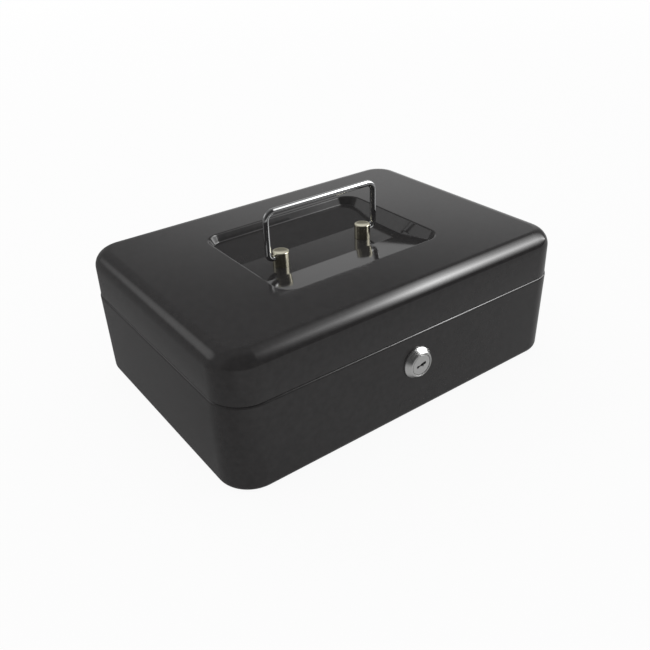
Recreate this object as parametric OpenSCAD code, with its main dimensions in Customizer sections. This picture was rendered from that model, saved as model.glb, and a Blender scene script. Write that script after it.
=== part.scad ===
// Steel cash box: a drawn base and a hinged drawn lid with a sunk carrying handle, a cam lock in the
// front wall and a lift-out coin tray. Millimetres, +Z up. The origin is the middle of the underside,
// the lock faces -Y and the hinges are at +Y.

/* [Box] */
// Width of the box, left to right
box_w = 250; // [210:1:330]
// Depth of the box, front to back
box_d = 180; // [160:1:250]
// Height of the flat of the lid
box_h = 86; // [84:1:110]
// Height of the lid's lower edge
seam_z = 57; // [55:1:60]
// Corner radius of the box in plan
corner_r = 21; // [17:1:28]
// Thickness of the steel sheet
sheet_t = 1; // [0.8:0.1:1.2]
// Outside radius between the floor and the walls
bottom_r = 4; // [3:0.5:6]
// How much the base narrows on each side towards the floor
base_draft = 0.5; // [0:0.1:1]

/* [Lid] */
// Outside radius between the lid's walls and its top
lid_r = 10.5; // [8:0.5:13]
// How much the lid narrows on each side towards its top
lid_draft = 0.3; // [0:0.1:0.8]
// Set-back of the lid's edge behind the base's shoulder
lid_inset = 0.5; // [0.3:0.1:0.8]
// Open gap between the base's shoulder and the lid's edge
seam_gap = 0.6; // [0.4:0.1:1]
// Height of the base's upright lip inside the lid
lip_h = 6; // [4:0.5:7]
// Gap between the lip and the lid's wall
lip_gap = 0.4; // [0.3:0.05:0.6]

/* [Handle recess] */
// Width of the recess at the lid's top
recess_w = 122; // [118:1:150]
// Depth of the recess, front to back
recess_d = 97; // [90:1:110]
// How far the recess lies behind the middle of the lid
recess_back = 1.5; // [0:0.5:2]
// How far the recess floor lies below the lid's top
recess_drop = 9; // [8:0.5:10]
// Corner radius of the recess at the lid's top
recess_corner_r = 12; // [12:1:24]
// Angle of the recess walls above the horizontal
recess_slope = 60; // [58:1:70]
// Radius where the lid's top rolls into the recess
recess_rim_r = 3.5; // [2.5:0.5:4]
// Radius between the recess walls and its floor
recess_floor_r = 4; // [3:0.5:5]
// Depth of the floor's level strip under the handle, front to back
level_d = 30; // [26:1:32]
// Slope of the floor in front of and behind the level strip
ramp_slope = 8; // [5:0.5:9]
// Radius of the creases beside the level strip
crease_r = 3; // [2:0.5:5]

/* [Handle] */
// Spacing of the two posts, centre to centre
post_spacing = 64.6; // [60:0.2:72]
// Diameter of a post
post_d = 10.5; // [9:0.5:12]
// Height of a post above the recess floor
post_h = 9.5; // [9.5:0.5:12]
// Height of the pivot above the recess floor
pivot_h = 6.3; // [6:0.1:6.6]
// Diameter of the handle's wire
wire_d = 4; // [3:0.5:4]
// Spacing of the handle's legs, centre to centre
leg_spacing = 82.6; // [82:0.2:88]
// Height of the grip bar's centre line above the pivot
grip_h = 30; // [24:1:31]
// Centre-line radius of the bends beside the grip
grip_bend_r = 5.5; // [5:0.5:8]
// Centre-line radius of the bends into the posts
hook_bend_r = 3.5; // [3:0.25:3.75]
// Running clearance of the wire in a post, on the radius
pivot_clear = 0.05; // [0.02:0.01:0.09]
// Diameter of the post screws
post_screw_d = 4; // [3:0.5:4]

/* [Hinges] */
// Distance from the middle of the box to the middle of a hinge
hinge_x = 65; // [50:1:75]
// Length of a hinge
hinge_w = 42; // [36:1:54]
// Height of a hinge leaf on the base
base_leaf_h = 17; // [15:1:22]
// Height of a hinge leaf on the lid
lid_leaf_h = 15; // [14:0.5:16]
// Thickness of the hinge leaves
leaf_t = 1.2; // [1:0.1:1.5]
// Diameter of the hinge pin
hinge_pin_d = 2.5; // [2:0.25:3]
// Running clearance of the pin in the knuckles, on the radius
hinge_clear = 0.04; // [0.02:0.01:0.08]
// Diameter of a rivet's shank
rivet_d = 3.2; // [2.6:0.2:3.6]
// Diameter of a rivet's head
rivet_head_d = 5.6; // [5:0.2:6]

/* [Lock] */
// Distance of the lock's axis below the lid's edge
lock_drop = 19.5; // [19:0.5:22]
// Diameter of the bezel where it meets the wall
bezel_d = 20; // [19:0.5:24]
// Diameter of the bezel's face
face_d = 15.4; // [15:0.2:17]
// How far the bezel stands out
bezel_h = 4.3; // [3:0.1:6]
// Diameter of the threaded barrel
barrel_d = 16; // [15:0.5:17]
// Width of the barrel across its two flats
barrel_flats = 14; // [13.5:0.5:14.5]
// Length of the barrel behind the bezel
barrel_l = 15; // [12:0.5:17]
// Diameter of the turning plug
plug_d = 10.4; // [9:0.2:11]
// Diameter of the plug's face
plug_face_d = 12.9; // [12:0.1:13.3]
// Running clearance of the plug in the barrel, on the radius
plug_clear = 0.04; // [0.02:0.01:0.08]
// Length of the cam from the lock's axis to its tip
cam_l = 22; // [20:0.5:24]
// Width of the cam
cam_w = 9; // [8:0.5:10]
// Thickness of the cam
cam_t = 2; // [1.5:0.25:2.5]
// Width of the lid's catch
catch_w = 12; // [8:1:14]

/* [Coin tray] */
// Number of coin cups along the front of the tray
cup_count = 5; // [3:1:8]
// Depth of the row of coin cups, front to back
cup_row_d = 62; // [50:1:70]
// Depth of the cups below the tray's rim
cup_depth = 24; // [18:1:26]
// Radius of the scooped cup bottoms
cup_r = 17; // [10:1:17]
// Radius along the bottom of the long well
well_r = 6; // [3:0.5:10]
// Thickness of the tray's walls
tray_t = 1.6; // [1.2:0.1:2.4]
// Thickness of the tray's rim
tray_rim_t = 2; // [1.5:0.1:3]
// Width of the ledges that carry the tray
ledge_w = 10; // [8:0.5:14]
// Length of the ledges
ledge_l = 100; // [60:5:120]
// Gap between the tray and what stands round it
tray_gap = 1; // [0.6:0.1:1.5]

/* [Hidden] */
$fn = 96;
bend_steps = 6;    // flats along a bend in a sheet profile
cut = 1;           // how far a cutting tool runs past the face it opens
fit = 0.05;        // clearance round a fixed shank or tail, on the radius
slot_w = 0.8;      // width of a screw's cross slot

// Base and lid
shoulder_z = seam_z - seam_gap;
jog = lid_inset + lip_gap + sheet_t;       // how far the lip stands in from the wall
jog_r = jog / 2;                           // centre-line radius of both bends of the jog
lip_top = seam_z + lip_h;
lip_face = corner_r - jog - sheet_t;       // inner face of the lip, from the corner's centre
lip_inset = corner_r - lip_face;           // the same face, in from the outside of the box

// Recess
rim_bend_r = recess_rim_r - sheet_t / 2;
floor_bend_r = recess_floor_r + sheet_t / 2;
rim_tangent = rim_bend_r * tan(recess_slope / 2);
slope_run = recess_drop / tan(recess_slope);
recess_z = box_h - recess_drop;

// Handle
pivot_z = recess_z + pivot_h;
wire_reach = 8;                            // how far the wire enters a post
post_edge = 0.5;                           // rounding of a post's top edge
post_rim = 0.9;                            // width of the rim round the dish in a post's top
post_dish = 0.35;                          // depth of that dish
post_screw_head_d = post_screw_d * 1.8;
post_screw_head_h = post_screw_d * 0.6;
post_washer_d = post_screw_head_d + 2;
post_washer_t = 0.8;
thread_l = pivot_h - wire_d / 2 - pivot_clear - 0.5;

// Hinges
knuckle_r = hinge_pin_d / 2 + hinge_clear + leaf_t;
hinge_gap = 0.25;                          // between a knuckle and the wall
hinge_y = box_d / 2 + knuckle_r + hinge_gap;
hinge_z = seam_z - seam_gap / 2;
mid_knuckle = hinge_w / 3;
knuckle_gap = 0.3;                         // between neighbouring knuckles
leaf_relief = knuckle_r + 0.35;            // a leaf stays this far from the other's knuckles
pin_head_d = hinge_pin_d + 1.5;
pin_head_t = 0.8;
rivet_margin = 7;                          // from a hinge's end to its rivets
rivet_pitch = hinge_w - 2 * rivet_margin;
rivet_head_h = 1.4;
base_rivet_z = hinge_z - base_leaf_h + rivet_head_d;
lid_rivet_z = hinge_z + lid_leaf_h - rivet_head_d * 0.75;

// Lock, measured outwards along its axis from the middle of the box
lock_z = seam_z - lock_drop;
bezel_back = base_face(lock_z + bezel_d / 2);
barrel_end = bezel_back - barrel_l;
bezel_edge = 0.9;                          // straight stretch at the bezel's foot
face_groove = 0.4;                         // open groove round the plug's face
face_pocket_r = plug_face_d / 2 + face_groove;
face_pocket_h = 1.8;
plug_sunk = 0.15;                          // the plug's face lies this far behind the bezel's
washer_d = barrel_d + 5;
washer_t = 0.8;
nut_flats = barrel_d + 4;
nut_t = 3;
washer_seat = base_face(lock_z - washer_d / 2) - sheet_t;
plug_play = 0.1;                           // end play of the plug
plug_shoulder = barrel_end - plug_play;
tail_w = 5;                                // square tail that turns the cam
tail_l = cam_t - 0.1;
keyway_w = 0.9;
keyway_body_w = 1.8;                       // its wider lower part
keyway_h = 6.6;
keyway_l = 11;
keyway_tilt = 102;                         // anticlockwise from the vertical, seen from the front
cam_screw_d = 3;
cam_screw_head_d = 6;
cam_screw_head_h = 1.8;
cam_screw_l = 3;                           // how far it enters the plug, with room beyond its end
cam_screw_room = 0.4;
cam_eye_d = cam_w + 3;                     // round end of the cam behind the plug
cam_washer_t = 0.6;
cam_washer_d = 7.5;
cam_front = plug_shoulder - cam_t;

// Catch under the lid's front wall. As the lid opens, its lower end swings forwards before it rises.
tab_t = 1.5;
tab_top = lock_z - cam_w / 2 - 0.8;
catch_reach = hinge_y + box_d / 2 - lip_inset;
catch_swing = norm([catch_reach, hinge_z - tab_top + tab_t]) - catch_reach;
catch_y = lip_inset - box_d / 2 + catch_swing + 0.6 + tab_t / 2;    // centre line of the hanging part
catch_x = -(nut_flats / 2 / cos(30) + 2.5 + catch_w / 2);
catch_flange_y = lid_inset + lid_draft + sheet_t + tab_t / 2 - box_d / 2;
catch_flange_top = box_h - lid_r;
catch_jog_z = lip_top + 2.2;

// Coin tray and its ledges
ledge_t = 1.2;
ledge_h = 12;                              // height of the flange on the wall
ledge_z = shoulder_z - sheet_t - 2.4;      // top of the ledges
tray_half_w = box_w / 2 - lip_inset - tray_gap;
tray_back = box_d / 2 - lip_inset - tray_gap;
screw_space = 4;                           // from the cam to behind its screw's head
tray_front = screw_space + tray_gap - cam_front;
pocket_half_w = box_w / 2 - sheet_t - base_draft - ledge_w - tray_gap;
pocket_rim = 3;                            // rim beyond the pockets at the front and the back
tray_corner_r = lip_face - tray_gap;
cup_front = tray_front + pocket_rim + tray_t;
cup_back = cup_front + cup_row_d - tray_t;
well_front = cup_back + tray_t;
well_back = tray_back - pocket_rim - tray_t;
cup_pitch = (2 * pocket_half_w - tray_t) / cup_count;

function unit(v) = v / norm(v);
function across(v) = [-v[1], v[0]];
function flat(p) = [p[0], p[1]];

// Outside of the base's wall at a height, from the middle of the box towards the front or back
function base_face(z) =
    box_d / 2 - base_draft * (shoulder_z - z) / (shoulder_z - sheet_t / 2);

// The points and left-hand normals of a round bend of radius b[2] at b, between a and c
function bend(a, b, c) =
    let (u = unit(flat(b) - flat(a)),
         v = unit(flat(c) - flat(b)),
         turn = atan2(cross(u, v), u * v),
         side = sign(turn),
         start = flat(b) - u * b[2] * tan(abs(turn) / 2),
         centre = start + across(u) * side * b[2])
    [for (i = [0:bend_steps])
        let (t = turn * i / bend_steps,
             n = across(u) * cos(t) - u * sin(t))
        [centre - n * side * b[2], n]];

// A path of points with round bends at those between its ends, each with its left-hand normal
function bends(path) =
    let (last = len(path) - 1)
    concat(
        [[flat(path[0]), across(unit(flat(path[1]) - flat(path[0])))]],
        [for (i = [1:1:last - 1]) each bend(path[i - 1], path[i], path[i + 1])],
        [[flat(path[last]), across(unit(flat(path[last]) - flat(path[last - 1])))]]);

// The path moved to its left by a distance, bends and all
function beside(path, distance) = [for (e = bends(path)) e[0] + e[1] * distance];

// Points of a path with its bends
function outline(path) = beside(path, 0);

// Outline of a strip of thickness t whose centre line is the path
function strip(path, t) =
    let (right = beside(path, -t / 2))
    concat(beside(path, t / 2), [for (i = [len(right) - 1:-1:0]) right[i]]);

// A block with round corners in plan whose side has the given outline. The outline's x runs outwards
// from the centre of a corner, and it goes from one end face to the other.
module block(w, d, r, side) {
    first = side[0];
    last = side[len(side) - 1];
    for (k = [0:3]) {
        across_w = k % 2 == 0 ? w : d;
        along_w = k % 2 == 0 ? d : w;
        middle = r - across_w / 2 - cut;
        rotate([0, 0, 90 * k]) translate([across_w / 2 - r, 0, 0]) {
            rotate([90, 0, 0]) linear_extrude(along_w - 2 * r, center = true)
                polygon(concat([[middle, first[1]]], side, [[middle, last[1]]]));
            translate([0, along_w / 2 - r, 0]) rotate_extrude()
                polygon(concat([[0, first[1]]], side, [[0, last[1]]]));
        }
    }
}

// A plate with round corners whose underside is at z = 0
module slab(w, d, r, h) {
    linear_extrude(h) {
        square([w - 2 * r, d], center = true);
        square([w, d - 2 * r], center = true);
        for (x = [-1, 1], y = [-1, 1])
            translate([x * (w / 2 - r), y * (d / 2 - r)]) circle(r);
    }
}

// Puts a shape that points along +Z on the lock's axis, pointing out of the front wall
module on_lock(out = 0) {
    translate([0, -out, lock_z]) rotate([90, 0, 0]) children();
}

// A rod of radius r along X, centred on the origin
module rod_x(r, l) {
    rotate([0, 90, 0]) cylinder(r = r, h = l, center = true);
}

// ---- Base ----

module double_d(d, flats, h) {
    intersection() {
        cylinder(d = d, h = h);
        translate([-flats / 2, -d, -cut]) cube([flats, 2 * d, h + 2 * cut]);
    }
}

// Centre line of the base's sheet, from under a corner's centre to the top of the lip
function base_path(top) =
    let (wall = corner_r - sheet_t / 2)
    [[0, sheet_t / 2],
     [wall - base_draft, sheet_t / 2, bottom_r - sheet_t / 2],
     [wall, shoulder_z - sheet_t / 2, jog_r],
     [wall - jog, shoulder_z - sheet_t / 2, jog_r],
     [wall - jog, top]];

module base_shell() {
    color("#3b3938") difference() {
        block(box_w, box_d, corner_r, beside(base_path(lip_top), -sheet_t / 2));
        block(box_w, box_d, corner_r, beside(base_path(lip_top + cut), sheet_t / 2));
        on_lock(bezel_back - sheet_t - base_draft - cut)
            double_d(barrel_d + 2 * fit, barrel_flats + 2 * fit, sheet_t + base_draft + 2 * cut);
        rivet_holes(base_rivet_z);
    }
}

// ---- Lid ----

// Centre line of the lid's sheet, from the bottom edge to above a corner's centre
function lid_path(edge) =
    let (wall = corner_r - lid_inset - sheet_t / 2,
         top = box_h - sheet_t / 2)
    [[wall + lid_draft * (seam_z - edge) / (top - seam_z), edge],
     [wall - lid_draft, top, lid_r - sheet_t / 2],
     [0, top]];

// Centre line of the recess's sheet, from its rim to the middle of a corner
function recess_path() =
    let (rim = recess_corner_r - rim_tangent)
    [[recess_corner_r, box_h - sheet_t / 2],
     [rim, box_h - sheet_t / 2, rim_bend_r],
     [rim - slope_run, recess_z - sheet_t / 2, floor_bend_r],
     [0, recess_z - sheet_t / 2]];

// Centre line of the recess floor from front to back, a level strip between two slopes
function floor_path() =
    let (run = recess_d / 2 + cut,
         z = recess_z - sheet_t / 2,
         rise = (run - level_d / 2) * tan(ramp_slope))
    [[-run, z + rise],
     [-level_d / 2, z, crease_r],
     [level_d / 2, z, crease_r],
     [run, z + rise]];

// The recess down to one face of its sheet, which lies at a distance above the sheet's centre line
module recess(distance, top) {
    translate([0, recess_back, 0]) intersection() {
        block(recess_w, recess_d, recess_corner_r, concat(top, beside(recess_path(), -distance)));
        along_x(-recess_w / 2 - cut, recess_w + 2 * cut)
            polygon(concat([[-recess_d / 2 - cut, box_h + 2 * cut]], beside(floor_path(), distance),
                           [[recess_d / 2 + cut, box_h + 2 * cut]]));
    }
}

module lid_shell() {
    above = [[recess_corner_r, box_h + cut]];
    within = [[recess_corner_r, box_h - sheet_t / 2]];
    color("#3f3c3b") difference() {
        union() {
            difference() {
                block(box_w, box_d, corner_r, beside(lid_path(seam_z), -sheet_t / 2));
                block(box_w, box_d, corner_r, beside(lid_path(seam_z - cut), sheet_t / 2));
            }
            recess(-sheet_t / 2, within);
        }
        recess(sheet_t / 2, above);
        for (side = [-1, 1])
            translate([side * post_spacing / 2, 0, recess_z - sheet_t - cut])
                cylinder(r = post_screw_d / 2 + fit, h = sheet_t + 2 * cut);
        rivet_holes(lid_rivet_z);
    }
}

// ---- Hinges ----

// Holes for both hinges' rivets through a wall and a leaf at a height
module rivet_holes(z) {
    for (side = [-1, 1], end = [-1, 1])
        translate([side * hinge_x + end * rivet_pitch / 2, hinge_y, z])
            rotate([90, 0, 0]) cylinder(r = rivet_d / 2 + fit, h = knuckle_r * 2 + 3 * sheet_t + cut);
}

// Both hinges' rivets at a height, between a leaf's outer face and the wall's inner face
module rivets(z, outer, inner) {
    dome = outline([[rivet_head_d / 2, 0], [rivet_head_d / 2, rivet_head_h, rivet_head_h * 0.8],
                    [0, rivet_head_h]]);
    for (side = [-1, 1], end = [-1, 1])
        translate([side * hinge_x + end * rivet_pitch / 2, 0, z]) rotate([-90, 0, 0]) {
            translate([0, 0, inner - rivet_head_h / 2]) {
                cylinder(d = rivet_head_d - 0.6, h = rivet_head_h / 2);
                cylinder(d = rivet_d, h = outer - inner + rivet_head_h / 2);
            }
            translate([0, 0, outer]) rotate_extrude() polygon(concat([[0, 0]], dome));
        }
}

// Space that the other leaf's knuckles turn in
module knuckle_relief(x, l) {
    translate([x, hinge_y, hinge_z]) rod_x(leaf_relief, l);
}

module hinge_base(side) {
    x = side * hinge_x;
    end_knuckle = (hinge_w - mid_knuckle) / 2 - knuckle_gap;
    color("#8c8a84") difference() {
        union() {
            difference() {
                translate([x - hinge_w / 2, box_d / 2, hinge_z - base_leaf_h])
                    cube([hinge_w, leaf_t, base_leaf_h]);
                knuckle_relief(x, mid_knuckle + 2 * knuckle_gap);
            }
            for (end = [-1, 1])
                translate([x + end * (hinge_w - end_knuckle) / 2, hinge_y, hinge_z])
                    rod_x(knuckle_r, end_knuckle);
        }
        translate([x, hinge_y, hinge_z]) rod_x(hinge_pin_d / 2 + hinge_clear, hinge_w + 2 * cut);
        rivet_holes(base_rivet_z);
    }
}

module hinge_lid(side) {
    x = side * hinge_x;
    leaf_y = box_d / 2 - lid_inset;
    end_relief = (hinge_w - mid_knuckle) / 2 + cut;
    color("#8c8a84") difference() {
        union() {
            difference() {
                translate([x - hinge_w / 2, leaf_y, hinge_z + knuckle_r - leaf_t])
                    cube([hinge_w, leaf_t, lid_leaf_h - knuckle_r + leaf_t]);
                for (end = [-1, 1])
                    knuckle_relief(x + end * (mid_knuckle + end_relief) / 2, end_relief);
            }
            translate([x - mid_knuckle / 2, leaf_y, hinge_z + knuckle_r - leaf_t])
                cube([mid_knuckle, hinge_y - leaf_y, leaf_t]);
            translate([x, hinge_y, hinge_z]) rod_x(knuckle_r, mid_knuckle);
        }
        translate([x, hinge_y, hinge_z]) rod_x(hinge_pin_d / 2 + hinge_clear, hinge_w + 2 * cut);
        rivet_holes(lid_rivet_z);
    }
}

module hinge_pin(side) {
    color("#c9c8c4") translate([side * hinge_x, hinge_y, hinge_z]) {
        rod_x(hinge_pin_d / 2, hinge_w);
        for (end = [-1, 1])
            translate([end * (hinge_w + pin_head_t) / 2, 0, 0]) rod_x(pin_head_d / 2, pin_head_t);
    }
}

module hinge_base_left() hinge_base(-1);
module hinge_base_right() hinge_base(1);
module hinge_lid_left() hinge_lid(-1);
module hinge_lid_right() hinge_lid(1);
module hinge_pin_left() hinge_pin(-1);
module hinge_pin_right() hinge_pin(1);

module base_hinge_rivets() {
    inner = base_face(base_rivet_z - rivet_head_d / 2) - sheet_t;
    color("#a5a39c") rivets(base_rivet_z, box_d / 2 + leaf_t, inner);
}

module lid_hinge_rivets() {
    inner = box_d / 2 - lid_inset - lid_draft - sheet_t;
    color("#a5a39c") rivets(lid_rivet_z, box_d / 2 - lid_inset + leaf_t, inner);
}

// ---- Lock ----

module lock_housing() {
    cone = outline([[bezel_d / 2, 0], [bezel_d / 2, bezel_edge, 0.6], [face_d / 2, bezel_h, 0.7],
                    [0, bezel_h]]);
    color("#d8d8da") difference() {
        union() {
            on_lock(bezel_back) rotate_extrude() polygon(concat([[0, 0]], cone));
            on_lock(barrel_end) double_d(barrel_d, barrel_flats, barrel_l);
        }
        on_lock(barrel_end - cut) cylinder(r = plug_d / 2 + plug_clear, h = barrel_l + bezel_h + 2 * cut);
        on_lock(bezel_back + bezel_h - face_pocket_h) cylinder(r = face_pocket_r, h = face_pocket_h + cut);
    }
}

module lock_washer() {
    color("#b9b9b6") on_lock(washer_seat - washer_t) difference() {
        cylinder(d = washer_d, h = washer_t);
        translate([0, 0, -cut]) cylinder(r = barrel_d / 2 + fit, h = washer_t + 2 * cut);
    }
}

module lock_nut() {
    color("#b9b9b6") on_lock(washer_seat - washer_t - nut_t) difference() {
        cylinder(d = nut_flats / cos(30), h = nut_t, $fn = 6);
        translate([0, 0, -cut]) cylinder(r = barrel_d / 2 + fit, h = nut_t + 2 * cut);
    }
}

module lock_plug() {
    face = bezel_back + bezel_h - plug_sunk;
    head_h = face_pocket_h - plug_sunk - plug_play;
    color("#e2e2e4") difference() {
        union() {
            on_lock(plug_shoulder) cylinder(d = plug_d, h = face - plug_shoulder);
            on_lock(face - head_h) cylinder(d = plug_face_d, h = head_h);
            on_lock(plug_shoulder - tail_l)
                translate([-tail_w / 2, -tail_w / 2, 0]) cube([tail_w, tail_w, tail_l + cut]);
        }
        on_lock(face - keyway_l) rotate([0, 0, keyway_tilt]) {
            translate([-keyway_w / 2, -keyway_h / 2, 0]) cube([keyway_w, keyway_h, keyway_l + cut]);
            translate([-keyway_body_w / 2, -keyway_h / 2, 0])
                cube([keyway_body_w, keyway_h * 0.58, keyway_l + cut]);
            translate([-keyway_body_w, -keyway_h * 0.2, 0])
                cube([keyway_body_w, keyway_h * 0.12, keyway_l + cut]);
            translate([0, keyway_h / 2 - keyway_w / 2, 0])
                cylinder(d = keyway_body_w, h = keyway_l + cut);
        }
        on_lock(plug_shoulder - tail_l - cut) cylinder(r = cam_screw_d / 2 + fit,
            h = tail_l + cut + cam_screw_l + cam_screw_room);
    }
}

module lock_cam() {
    color("#c4c4c0") on_lock(plug_shoulder - cam_t) difference() {
        union() {
            cylinder(d = cam_eye_d, h = cam_t);
            translate([-cam_w / 2, 0, 0]) cube([cam_w, cam_l - cam_w / 2, cam_t]);
            translate([0, cam_l - cam_w / 2, 0]) cylinder(d = cam_w, h = cam_t);
        }
        translate([-tail_w / 2 - fit, -tail_w / 2 - fit, -cut])
            cube([tail_w + 2 * fit, tail_w + 2 * fit, cam_t + 2 * cut]);
    }
}

module cam_washer() {
    color("#b9b9b6") on_lock(cam_front - cam_washer_t) difference() {
        cylinder(d = cam_washer_d, h = cam_washer_t);
        translate([0, 0, -cut]) cylinder(r = cam_screw_d / 2 + fit, h = cam_washer_t + 2 * cut);
    }
}

// A pan-head screw with a cross slot, its head below z = 0 and its shank above
module pan_screw(d, head_d, head_h, l) {
    difference() {
        union() {
            rotate([180, 0, 0]) rotate_extrude()
                polygon(concat([[0, 0]], outline([[head_d / 2, 0],
                    [head_d / 2, head_h, head_h * 0.5], [0, head_h]])));
            cylinder(d = d, h = l);
        }
        for (a = [0, 90])
            rotate([0, 0, a]) translate([-head_d * 0.3, -slot_w / 2, -head_h - cut])
                cube([head_d * 0.6, slot_w, head_h * 0.5 + cut]);
    }
}

module cam_screw() {
    color("#b9b9b6") on_lock(cam_front - cam_washer_t)
        pan_screw(cam_screw_d, cam_screw_head_d, cam_screw_head_h, cam_washer_t + cam_t + cam_screw_l);
}

module lid_catch() {
    path = [
        [catch_flange_y, catch_flange_top],
        [catch_flange_y, catch_jog_z, tab_t],
        [catch_y, catch_jog_z - 1, tab_t],
        [catch_y, tab_top - tab_t / 2, tab_t],
        [-cam_front - 1, tab_top - tab_t / 2],
    ];
    color("#57544f") translate([catch_x - catch_w / 2, 0, 0])
        rotate([90, 0, 90]) linear_extrude(catch_w) polygon(strip(path, tab_t));
}

// ---- Handle ----

module handle_post(side) {
    dish_r = post_d / 2 - post_rim;
    body = outline([[post_d / 2, 0], [post_d / 2, post_h, post_edge], [dish_r, post_h, post_dish],
                    [dish_r - post_dish * 2, post_h - post_dish, post_dish], [0, post_h - post_dish]]);
    color("#c8bfa6") translate([side * post_spacing / 2, 0, recess_z]) difference() {
        rotate_extrude() polygon(concat([[0, 0]], body));
        translate([side * (post_d / 2 + cut - (wire_reach + cut) / 2), 0, pivot_h])
            rod_x(wire_d / 2 + pivot_clear, wire_reach + cut);
        translate([0, 0, -cut]) cylinder(r = post_screw_d / 2 + fit, h = thread_l + cut);
    }
}

module handle_post_left() handle_post(-1);
module handle_post_right() handle_post(1);

module post_washers() {
    color("#b9b9b6") for (side = [-1, 1])
        translate([side * post_spacing / 2, 0, recess_z - sheet_t - post_washer_t]) difference() {
            cylinder(d = post_washer_d, h = post_washer_t);
            translate([0, 0, -cut]) cylinder(r = post_screw_d / 2 + fit, h = post_washer_t + 2 * cut);
        }
}

module post_screws() {
    color("#b9b9b6") for (side = [-1, 1])
        translate([side * post_spacing / 2, 0, recess_z - sheet_t - post_washer_t])
            pan_screw(post_screw_d, post_screw_head_d, post_screw_head_h,
                      post_washer_t + sheet_t + thread_l - 0.3);
}

// A quarter bend of wire in the XZ plane round the origin, from +X to +Z
module wire_bend(r) {
    rotate([90, 0, 0]) rotate_extrude(angle = 90) translate([r, 0]) circle(d = wire_d);
}

module handle_bail() {
    leg = leg_spacing / 2;
    grip = leg - grip_bend_r;
    hook = leg - hook_bend_r;
    wire_end = post_spacing / 2 + post_d / 2 - wire_reach + 0.4;
    color("#e4e4e6") translate([0, 0, pivot_z]) {
        translate([0, 0, grip_h]) rod_x(wire_d / 2, 2 * grip);
        for (side = [0, 1]) mirror([side, 0, 0]) {
            translate([grip, 0, grip_h - grip_bend_r]) wire_bend(grip_bend_r);
            translate([leg, 0, hook_bend_r])
                cylinder(d = wire_d, h = grip_h - grip_bend_r - hook_bend_r);
            translate([hook, 0, hook_bend_r]) mirror([0, 0, 1]) wire_bend(hook_bend_r);
            translate([(hook + wire_end) / 2, 0, 0]) rod_x(wire_d / 2, hook - wire_end);
        }
    }
}

// ---- Coin tray ----

// Section of a pocket from front to back, with its bottom at z and round lower edges of radius r
module pocket_section(front, back, z, r, top) {
    polygon(outline([[front, top], [front, z, r], [back, z, r], [back, top]]));
}

// A pocket section run along X from x, as far as l
module along_x(x, l) {
    translate([x, 0, 0]) rotate([90, 0, 90]) linear_extrude(l) children();
}

module coin_tray() {
    bottom = ledge_z - cup_depth;
    rim_top = ledge_z + tray_rim_t;
    color("#2f3033") difference() {
        union() {
            translate([0, (tray_front + tray_back) / 2, ledge_z])
                slab(2 * tray_half_w, tray_back - tray_front, tray_corner_r, tray_rim_t);
            along_x(-pocket_half_w, 2 * pocket_half_w) {
                pocket_section(cup_front - tray_t, cup_back + tray_t, bottom, cup_r + tray_t, ledge_z + 1);
                pocket_section(well_front - tray_t, well_back + tray_t, bottom, well_r + tray_t, ledge_z + 1);
            }
        }
        for (i = [0:cup_count - 1])
            along_x(tray_t - pocket_half_w + i * cup_pitch, cup_pitch - tray_t)
                pocket_section(cup_front, cup_back, bottom + tray_t, cup_r, rim_top + cut);
        along_x(tray_t - pocket_half_w, 2 * (pocket_half_w - tray_t))
            pocket_section(well_front, well_back, bottom + tray_t, well_r, rim_top + cut);
    }
}

module tray_rest(side) {
    wall = box_w / 2 - sheet_t - base_draft - ledge_t / 2;
    path = [[wall, ledge_z - ledge_h], [wall, ledge_z - ledge_t / 2, ledge_t],
            [wall + ledge_t / 2 - ledge_w, ledge_z - ledge_t / 2]];
    color("#3b3938") mirror([side < 0 ? 1 : 0, 0, 0])
        translate([0, ledge_l / 2, 0]) rotate([90, 0, 0]) linear_extrude(ledge_l)
            polygon(strip(path, ledge_t));
}

module tray_rest_left() tray_rest(-1);
module tray_rest_right() tray_rest(1);

base_shell();
lid_shell();
hinge_base_left();
hinge_base_right();
hinge_lid_left();
hinge_lid_right();
hinge_pin_left();
hinge_pin_right();
base_hinge_rivets();
lid_hinge_rivets();
lock_housing();
lock_washer();
lock_nut();
lock_plug();
lock_cam();
cam_washer();
cam_screw();
lid_catch();
handle_post_left();
handle_post_right();
post_washers();
post_screws();
handle_bail();
coin_tray();
tray_rest_left();
tray_rest_right();
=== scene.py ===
"""Dresses the steel cash box: formed and painted sheet shells, wire handle, posts, cam lock,
hinges, fasteners and coin tray, with the studio they stand in."""
import math

import bmesh
import bpy
from mathutils import Matrix, Vector


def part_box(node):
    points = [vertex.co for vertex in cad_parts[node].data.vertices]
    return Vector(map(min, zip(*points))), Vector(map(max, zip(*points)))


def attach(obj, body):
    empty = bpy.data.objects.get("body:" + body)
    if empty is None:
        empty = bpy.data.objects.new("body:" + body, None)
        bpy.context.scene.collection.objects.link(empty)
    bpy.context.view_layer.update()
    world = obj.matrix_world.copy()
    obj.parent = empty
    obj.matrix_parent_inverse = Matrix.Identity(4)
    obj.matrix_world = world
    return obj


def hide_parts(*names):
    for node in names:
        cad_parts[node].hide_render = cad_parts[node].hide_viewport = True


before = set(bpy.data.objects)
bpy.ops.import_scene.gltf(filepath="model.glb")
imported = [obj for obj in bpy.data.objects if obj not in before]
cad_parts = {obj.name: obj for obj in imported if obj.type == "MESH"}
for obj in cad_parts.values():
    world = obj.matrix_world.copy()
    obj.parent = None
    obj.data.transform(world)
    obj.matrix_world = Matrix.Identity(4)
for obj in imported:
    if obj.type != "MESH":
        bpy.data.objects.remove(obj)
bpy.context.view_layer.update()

bl_info = {
    "name": "Cash box",
    "version": (1, 0, 0),
    "blender": (4, 5, 0),
    "location": "View3D > Sidebar > Cash box",
    "description": "Builds the visible pieces of a steel cash box on its packed frame",
    "category": "Object",
}

MM = 0.001
# Gap between a hole and the part in it.
CLEAR = 0.05 * MM
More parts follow.
